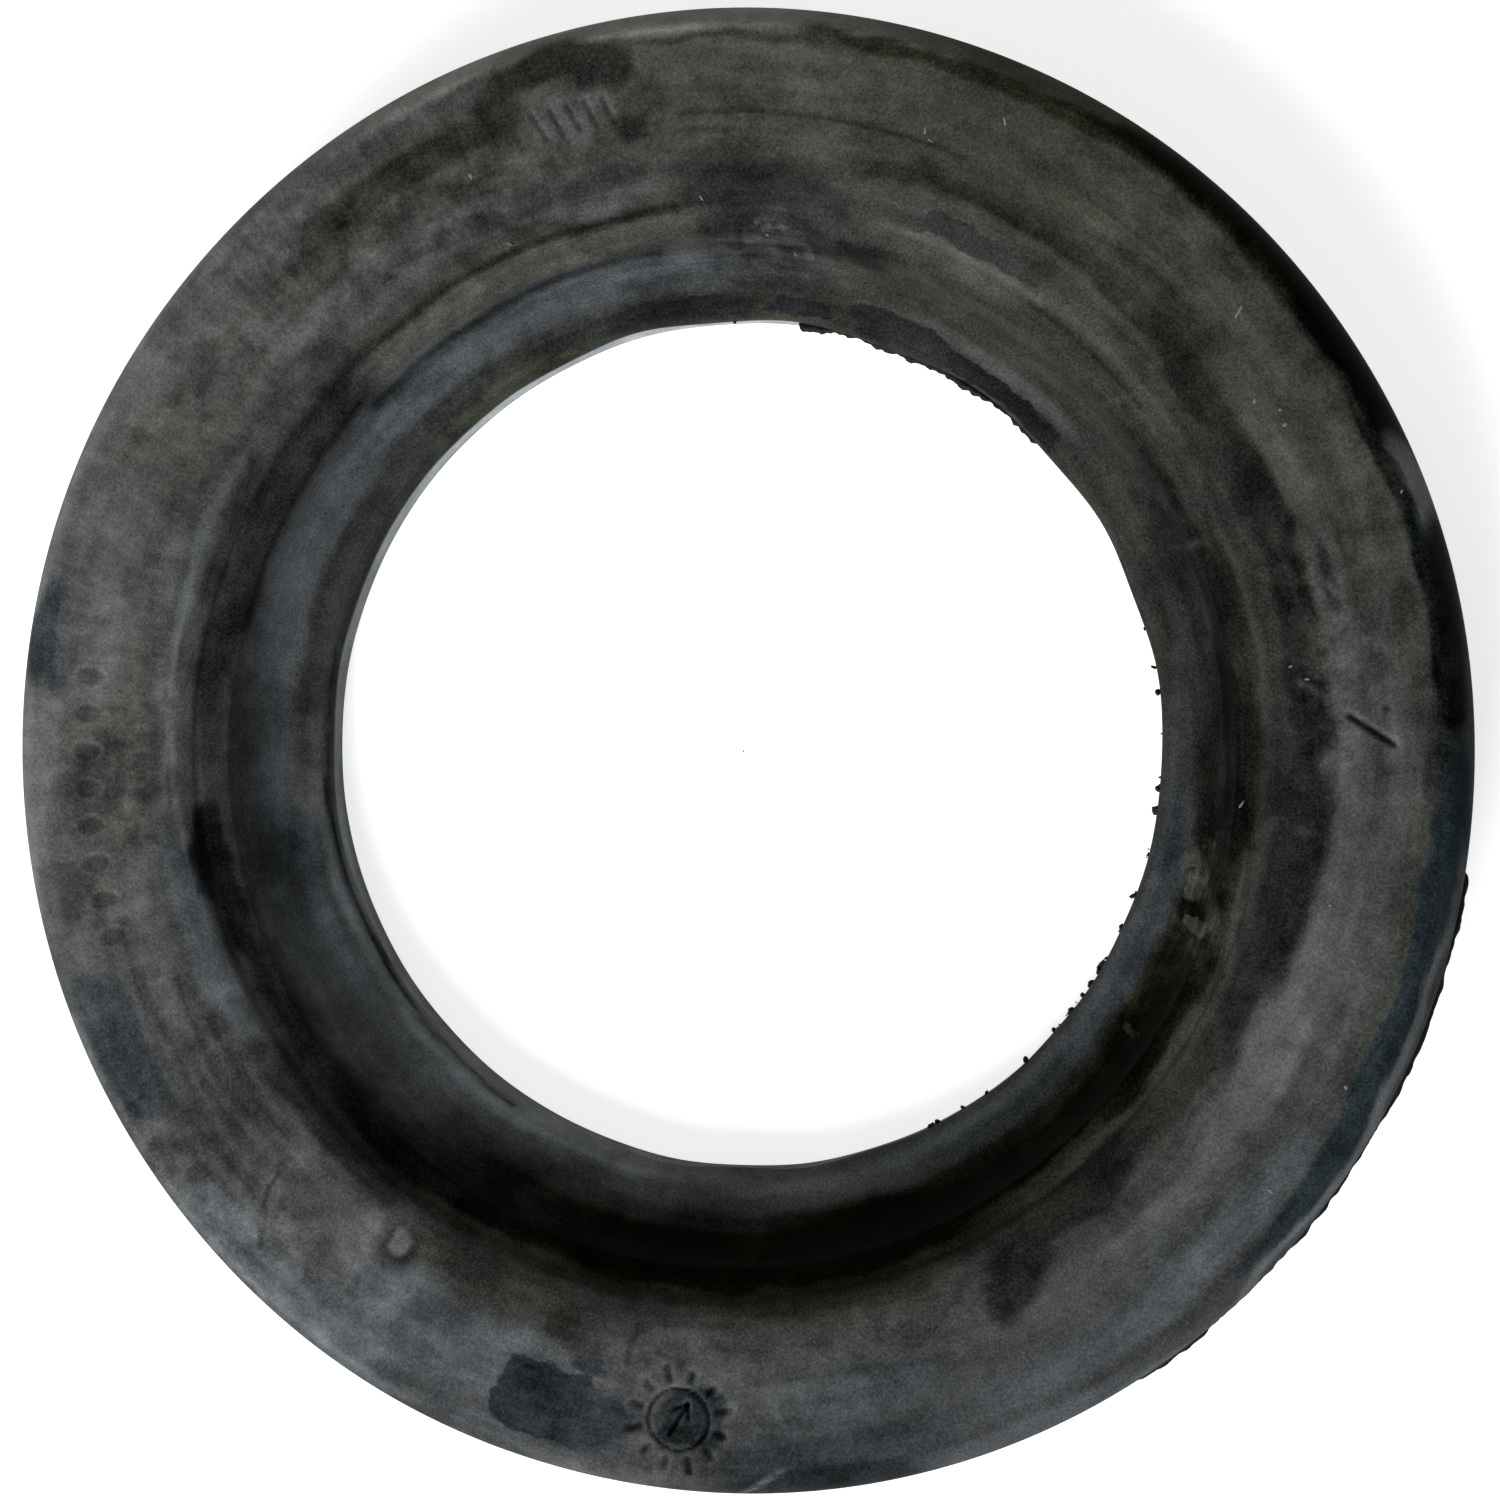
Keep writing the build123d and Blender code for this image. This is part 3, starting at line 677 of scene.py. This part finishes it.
def bloomed_rubber_painted_light():
    """Black rubber under its grey bloom, with painted light and shade in the level read from the
    ring. That level is broken up by mottling, by wiping streaks that run round the ring or out to
    its rim, and by grain, and turned into a colour. Bare places are a little smoother than bloomed ones."""
    material, wires, shader = new_material("bloomed_rubber_painted_light")
    spot = wires.node("TexCoord").outputs["Object"]
    parts = wires.node("SeparateXYZ", {0: spot}).outputs
    flat = wires.node("CombineXYZ", {0: parts[0], 1: parts[1]}).outputs[0]
    radius = wires.vector("LENGTH", flat)
    facing = wires.vector("NORMALIZE", flat)
    across = wires.math("MULTIPLY", wires.math("ADD", radius, parts[2]), 700.0)
    across_only = wires.node("CombineXYZ", {2: across}).outputs[0]
    round_the_ring = wires.vector("MULTIPLY_ADD", facing, (5.4, 5.4, 0.0), across_only)
    streak = wires.node("TexNoise", {"Vector": round_the_ring, "Scale": 1.0, "Detail": 2.0,
                                     "Roughness": 0.6})
    outward = wires.node("CombineXYZ", {2: wires.math("MULTIPLY", radius, 110.0)}).outputs[0]
    to_the_rim = wires.vector("MULTIPLY_ADD", facing, (64.0, 64.0, 0.0), outward)
    brush = wires.node("TexNoise", {"Vector": to_the_rim, "Scale": 1.0, "Detail": 2.0, "Roughness": 0.75})
    patchy = wires.node("TexNoise", {"Vector": spot, "Scale": 120.0, "Detail": 3.0, "Roughness": 0.62})
    patch = wires.node("MapRange", {"Value": patchy.outputs[0], "From Min": 0.42, "From Max": 0.58,
                                    "To Min": -0.5, "To Max": 0.5}, interpolation_type="SMOOTHSTEP")
    grains = grain(wires)
    stored = {name: wires.node("Attribute", attribute_name=name).outputs["Fac"] for name in fields}
    ragged = wires.math("MULTIPLY_ADD", grains["Mottle"], 2.4, stored["bare"])
    inside = wires.node("MapRange", {"Value": ragged, "From Min": -0.12, "From Max": 0.12})
    level = wires.mix(inside.outputs[0], stored["bloom"], stored["bare_bloom"])
    wiped = wires.mix(stored["brushed"], streak.outputs[0], brush.outputs[0])
    uneven = wires.math("MULTIPLY", patch.outputs[0], 0.16)
    uneven = wires.math("MULTIPLY_ADD", wires.math("SUBTRACT", wiped, 0.5), 0.42, uneven)
    uneven = wires.math("MULTIPLY_ADD", grains["Mottle"], 0.62, uneven)
    level = wires.math("MULTIPLY_ADD", uneven, stored["mottled"], level)
    level = wires.math("MULTIPLY_ADD", grains["Fleck"], 0.56, level)
    warm = wires.math("MULTIPLY", stored["tint"], -0.5, clamp=True)
    cool = wires.math("MULTIPLY", stored["tint"], 1.0, clamp=True)
    white, olive_tone, blue_tone = (1, 1, 1, 1), (0.90, 1.0, 0.22, 1), (0.64, 0.95, 1.09, 1)
    olive = wires.node("Mix", {"Factor": warm, "A": white, "B": olive_tone}, data_type="RGBA")
    blue = wires.node("Mix", {"Factor": cool, "A": white, "B": blue_tone}, data_type="RGBA")
    tone = wires.vector("MULTIPLY", olive.outputs["Result"], blue.outputs["Result"])
    colour = wires.node("VectorMath", {0: tone, "Scale": grey_of(wires, level)}, operation="SCALE")
    rough = wires.node("MapRange", {"Value": level, "From Min": 0.15, "From Max": 0.7,
                                    "To Min": 0.55, "To Max": 0.82})
    bump = wires.node("Bump", {"Height": grains["Height"], "Strength": 0.35, "Distance": 0.0002})
    wires.fill(shader, {"Base Color": colour.outputs["Vector"], "Roughness": rough.outputs[0],
                        "Specular IOR Level": 0.015, "Normal": bump.outputs[0]})
    return material


ring.data.materials.append(bloomed_rubber_painted_light())


# ---------------------------------------------------------------------------------------------
# Flash: the thin skin of rubber that squeezed out where the mould halves meet, torn off but for
# a ragged fringe, along part of the bore's edge and along part of the flange's outer edge.

def raw_rubber():
    """Bare black rubber where it was torn, without bloom."""
    material, wires, shader = new_material("raw_rubber")
    grains = grain(wires)
    level = wires.math("MULTIPLY_ADD", grains["Fleck"], 0.3, 0.17)
    grey = grey_of(wires, wires.math("MULTIPLY_ADD", grains["Mottle"], 0.4, level))
    colour = wires.node("CombineColor", {channel: grey for channel in range(3)})
    bump = wires.node("Bump", {"Height": grains["Height"], "Strength": 0.6, "Distance": 0.0003})
    wires.fill(shader, {"Base Color": colour.outputs[0], "Roughness": 0.6,
                        "Specular IOR Level": 0.15, "Normal": bump.outputs[0]})
    return material


torn_rubber = raw_rubber()


def flash_fringe(name, first, last, step, root, height, thickness, reach, seed, inward):
    """A thin fringe along an arc from first to last, in degrees. At each angle its section is a
    wedge: thickness high at the root radius, half of that at the torn edge, reach away from it.
    The reach wanders with a cloud and with smoothed random steps, the torn edge rises and falls
    with a cloud of its own, and both ends are drawn in to a point."""
    turn = np.radians(np.arange(first, last + step / 2, step))
    count = len(turn)
    draw = np.random.default_rng(seed)
    slow = cloud(turn, 0.5, seed, 48, 1.0, 2)
    torn = np.convolve(draw.uniform(-1, 1, count + 2), (0.3, 0.4, 0.3), "valid")
    from_end = np.minimum(np.arange(count), count - 1 - np.arange(count)) / 3.0
    ends = np.sqrt(np.clip(from_end, 0, 1)) + 0.02
    out = reach * np.clip(0.62 + 0.42 * slow + 0.38 * torn, 0.05, 1.0) * ends
    side = -1.0 if inward else 1.0
    lift = 0.12 * MM * cloud(turn, 2.5, seed + 1, 90, 1.0, 2)
    tall = thickness * ends
    shape = [(-0.25 * MM + 0 * out, -tall / 2), (0.5 * out, -tall / 2.6), (out, -tall / 4 + lift),
             (out, tall / 4 + lift), (0.5 * out, tall / 2.6), (-0.25 * MM + 0 * out, tall / 2)]
    radius = np.stack([root + side * part for part, _ in shape], axis=1)
    if inward:
        radius += bore_drift * np.sin(turn)[:, None]
    rise = np.stack([height + up for _, up in shape], axis=1)
    points = np.stack([radius * np.cos(turn[:, None]), radius * np.sin(turn[:, None]), rise], axis=-1)
    if inward:
        points = points[:, ::-1]
    last_row = (count - 1) * 6
    caps = [(3, 2, 1, 0), (5, 4, 3, 0), (last_row, last_row + 1, last_row + 2, last_row + 3),
            (last_row, last_row + 3, last_row + 4, last_row + 5)]
    faces = np.concatenate([grid_faces(count, 6, close_first=False), caps])
    piece = mesh_piece(name, points.reshape(-1, 3), faces)
    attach(piece, "root")
    piece.data.materials.append(torn_rubber)


flash_fringe("bore_flash", first=45.0, last=81.5, step=0.3, root=bore_radius, height=3.1 * MM,
             thickness=0.7 * MM, reach=0.85 * MM, seed=41, inward=True)
flash_fringe("outer_flash", first=304.0, last=351.5, step=0.3, root=outer_radius - 0.1 * MM,
             height=seat_height + 0.35 * MM, thickness=0.45 * MM, reach=0.55 * MM, seed=43, inward=False)


def blobs(name, centres, sizes, turns, rings=4, sides=6):
    """Small lumps, each a ball of rings by sides points stretched to its own three half sizes,
    turned about the vertical, and made uneven by a cosine of each point's own angles. Sides are 6,
    because each end is closed by two four-sided faces."""
    lift = (np.arange(rings) + 0.5) / rings * np.pi
    spin = np.arange(sides) / sides * 2 * np.pi
    lift, spin = np.meshgrid(lift, spin, indexing="ij")
    ball = np.stack([np.sin(lift) * np.cos(spin), np.sin(lift) * np.sin(spin), np.cos(lift)], axis=-1)
    ball = ball.reshape(-1, 3)
    centres, sizes, turns = np.array(centres), np.array(sizes), np.array(turns)
    number = np.arange(len(centres))[:, None]
    rough = 1 + 0.25 * np.cos(3.1 * ball[None, :, 0] + 2.3 * ball[None, :, 1] + 5.0 * number)
    shaped = ball[None] * rough[..., None] * sizes[:, None, :]
    cosine, sine = np.cos(turns)[:, None], np.sin(turns)[:, None]
    x = shaped[..., 0] * cosine - shaped[..., 1] * sine
    y = shaped[..., 0] * sine + shaped[..., 1] * cosine
    points = np.stack([x, y, shaped[..., 2]], axis=-1) + centres[:, None, :]
    first_loop = np.arange(sides)
    last_loop = first_loop[::-1] + (rings - 1) * sides
    caps = [loop[list(four)] for loop in (first_loop, last_loop) for four in ((0, 1, 2, 3), (0, 3, 4, 5))]
    faces = np.concatenate([grid_faces(rings, sides, close_first=False), caps])
    faces = faces[None] + (number * len(ball))[:, :, None]
    piece = mesh_piece(name, points.reshape(-1, 3), faces.reshape(-1, 4))
    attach(piece, "root")
    return piece


# Crumbs of torn rubber that still hang on the bore's edge, singly and in clusters
crumb_draw = np.random.default_rng(7)
crumb_angles = np.concatenate([
    crumb_draw.normal(middle, spread, number)
    for middle, spread, number in ((16.5, 0.3, 2), (11.5, 0.3, 2), (346.6, 0.5, 4), (341.0, 0.4, 3),
                                   (336.0, 0.5, 4), (331.0, 0.9, 8), (327.5, 0.7, 5), (323.5, 0.8, 7),
                                   (320.0, 0.6, 4), (314.0, 0.8, 3), (303.0, 3.0, 4), (298.0, 1.0, 2),
                                   (2.0, 8.0, 5), (353.0, 4.0, 4), (88.0, 1.5, 2))])
crumb_sizes = (0.10 + 0.30 * crumb_draw.uniform(0, 1, len(crumb_angles)) ** 1.6) * MM
crumb_roots = bore_radius + bore_drift * np.sin(np.radians(crumb_angles)) - 0.3 * crumb_sizes
crumb_centres = [
    (*place(angle, root + crumb_draw.uniform(-0.12, 0.1) * MM), crumb_draw.uniform(2.9, 3.9) * MM)
    for angle, root in zip(crumb_angles, crumb_roots)]
crumbs = blobs("bore_crumbs", crumb_centres,
               crumb_sizes[:, None] * crumb_draw.uniform(0.7, 1.5, (len(crumb_angles), 3)),
               crumb_draw.uniform(0, np.pi, len(crumb_angles)))
crumbs.data.materials.append(torn_rubber)


# ---------------------------------------------------------------------------------------------
# Specks of pale dust and short ends of lint that stick to the top of the ring. Each is a flat grain
# that lies on the rubber, held by nothing but the soft surface.

# angle, radius, half length and half width in mm, and lean from the radius in degrees
specks = (
    (112.9, 63.4, 0.42, 0.30, 40), (70.4, 65.2, 0.55, 0.14, 15), (69.7, 64.4, 0.30, 0.12, 60),
    (64.4, 68.8, 0.50, 0.18, 30), (39.3, 67.9, 1.05, 0.16, 22), (29.3, 65.3, 0.40, 0.20, 20),
    (30.6, 65.6, 0.20, 0.18, 0), (32.4, 64.0, 0.28, 0.20, 30), (346.9, 63.0, 0.18, 0.18, 0),
    (333.2, 70.5, 0.28, 0.24, 0), (323.0, 69.8, 0.32, 0.22, 20), (354.9, 52.9, 0.60, 0.13, 60),
    (81.4, 51.0, 0.30, 0.14, 20), (84.2, 52.3, 0.22, 0.14, 60), (8.6, 58.2, 0.30, 0.16, 30),
    (7.2, 59.6, 0.35, 0.16, 15), (91.0, 55.7, 0.60, 0.13, 30), (112.0, 55.6, 0.45, 0.12, 35),
    (198.6, 71.6, 0.35, 0.30, 30), (20.5, 72.6, 0.30, 0.14, 60),
)
speck_spots = np.array([place(angle, radius * MM) for angle, radius, *_ in specks])
speck_thickness = 0.06 * MM
speck_clearance = 0.08 * MM      # how far the middle of a speck stays below the ring's total height
# A speck takes its height from the ring's nearest point in plan. The bore's wall and the underside
# come first and last in the section and are left out, but for four points by the outer edge
ring_top = ring_points(section, angles)[:, 8:-20].reshape(-1, 3)
speck_heights = [ring_top[np.argmin(np.hypot(*(ring_top[:, :2] - spot).T)), 2]
                 for spot in speck_spots]
speck_heights = np.minimum(speck_heights, total_height - speck_clearance)
dust = blobs("dust_specks", np.column_stack([speck_spots, speck_heights]),
             [(length * MM, width * MM, speck_thickness) for _, _, length, width, _ in specks],
             [np.radians(angle + lean) for angle, _, _, _, lean in specks])


def pale_dust():
    """Matt dust and lint, pale with a little pink."""
    material, wires, shader = new_material("pale_dust")
    wires.fill(shader, {"Base Color": (0.17, 0.155, 0.145, 1), "Roughness": 0.9,
                        "Specular IOR Level": 0.1})
    return material


dust.data.materials.append(pale_dust())


# ---------------------------------------------------------------------------------------------
# The floor and the low wall round it: a plain pale studio sweep, all one surface of revolution,
# painted matt white. The ring stands on it with its flat end.

def sweep_points():
    """A disc that curves up at its edge into a low wall: each ring of points has a radius and a
    height, and the curve between floor and wall is a quarter circle. The disc lies a hair below
    the ring's flat end, so that the two aren't in one plane."""
    floor_radius, curve, wall, floor_gap = 2.6, 0.4, 0.75, 0.02 * MM
    bend = np.linspace(0, np.pi / 2, 9)
    radius = np.concatenate([[1e-4, 0.2, 0.6, 1.4], floor_radius + curve * np.sin(bend),
                             [floor_radius + curve]])
    height = np.concatenate([[0, 0, 0, 0], curve * (1 - np.cos(bend)), [wall]]) - floor_gap
    turn = np.radians(np.arange(0, 360, 5))[:, None]
    return np.stack([radius * np.cos(turn), radius * np.sin(turn), height + 0 * turn], axis=-1)


floor = closed_grid("floor", sweep_points()[:, ::-1], close_second=False)


def floor_paint():
    """Matt white paint, with a share of its own white towards the camera and in reflections, so
    that the open floor is white and the object's shadow on it is soft."""
    material, wires, shader = new_material("floor_paint")
    path = wires.node("LightPath").outputs
    seen = wires.math("ADD", path["Is Camera Ray"], path["Is Glossy Ray"], clamp=True)
    seen = wires.math("ADD", seen, path["Is Transmission Ray"], clamp=True)
    wires.fill(shader, {"Base Color": (0.6, 0.6, 0.6, 1), "Roughness": 0.9, "Specular IOR Level": 0.0,
                        "Emission Color": (1, 1, 1, 1),
                        "Emission Strength": wires.math("MULTIPLY", seen, 0.75)})
    return material


floor.data.materials.append(floor_paint())


# ---------------------------------------------------------------------------------------------
# Light: a large soft lamp low in front on the left, like a window, a weak warm one behind, and
# a dim room that fills the shadows.

def lamp(name, azimuth, elevation, distance, size, power, colour):
    """A square lamp at an angle from +X and above the floor, in degrees, aimed at the ring."""
    data = bpy.data.lights.new(name, "AREA")
    data.shape = "SQUARE"
    data.size = size
    data.energy = power
    data.color = colour
    turn, rise = np.radians(azimuth), np.radians(elevation)
    where = Vector((np.cos(turn) * np.cos(rise), np.sin(turn) * np.cos(rise), np.sin(rise))) * distance
    light = bpy.data.objects.new(name, data)
    light.location = where
    light.rotation_euler = (-where).to_track_quat("-Z", "Y").to_euler()
    bpy.context.scene.collection.objects.link(light)


lamp("window_light", azimuth=248, elevation=38, distance=2.0, size=1.0, power=58.0,
     colour=(0.93, 0.97, 1.0))
lamp("room_light", azimuth=118, elevation=30, distance=2.0, size=1.0, power=6.0,
     colour=(1.0, 0.93, 0.82))

world = bpy.data.worlds.new("dim_room")
world.use_nodes = True
background = world.node_tree.nodes["Background"].inputs
background["Color"].default_value = (0.9, 0.95, 1.0, 1)
background["Strength"].default_value = 0.17
bpy.context.scene.world = world


# ---------------------------------------------------------------------------------------------
# The camera: above the ring and a little to its right, 350 mm away, with +Y towards the top
# of the view. It aims a little beside the ring's middle.

camera_distance = 0.350
camera_tilt = np.radians(12.7)
camera_side = np.radians(5.0)
camera_aim = Vector((2.44, 0.27, 8.0)) * MM
ring_middle = Vector((0.0, 0.0, 8.0)) * MM
camera_back = Vector((np.sin(camera_tilt) * np.cos(camera_side),
                      np.sin(camera_tilt) * np.sin(camera_side), np.cos(camera_tilt)))
camera_data = bpy.data.cameras.new("camera")
camera_data.sensor_width = 36.0
camera_data.lens = 82.1
camera = bpy.data.objects.new("camera", camera_data)
camera.location = ring_middle + camera_back * camera_distance
look_back = (camera.location - camera_aim).normalized()
look_right = Vector((0, 1, 0)).cross(look_back).normalized()
look_up = look_back.cross(look_right)
camera.rotation_euler = Matrix((look_right, look_up, look_back)).transposed().to_euler()
bpy.context.scene.collection.objects.link(camera)
bpy.context.scene.camera = camera

bpy.context.scene.view_settings.view_transform = "Standard"
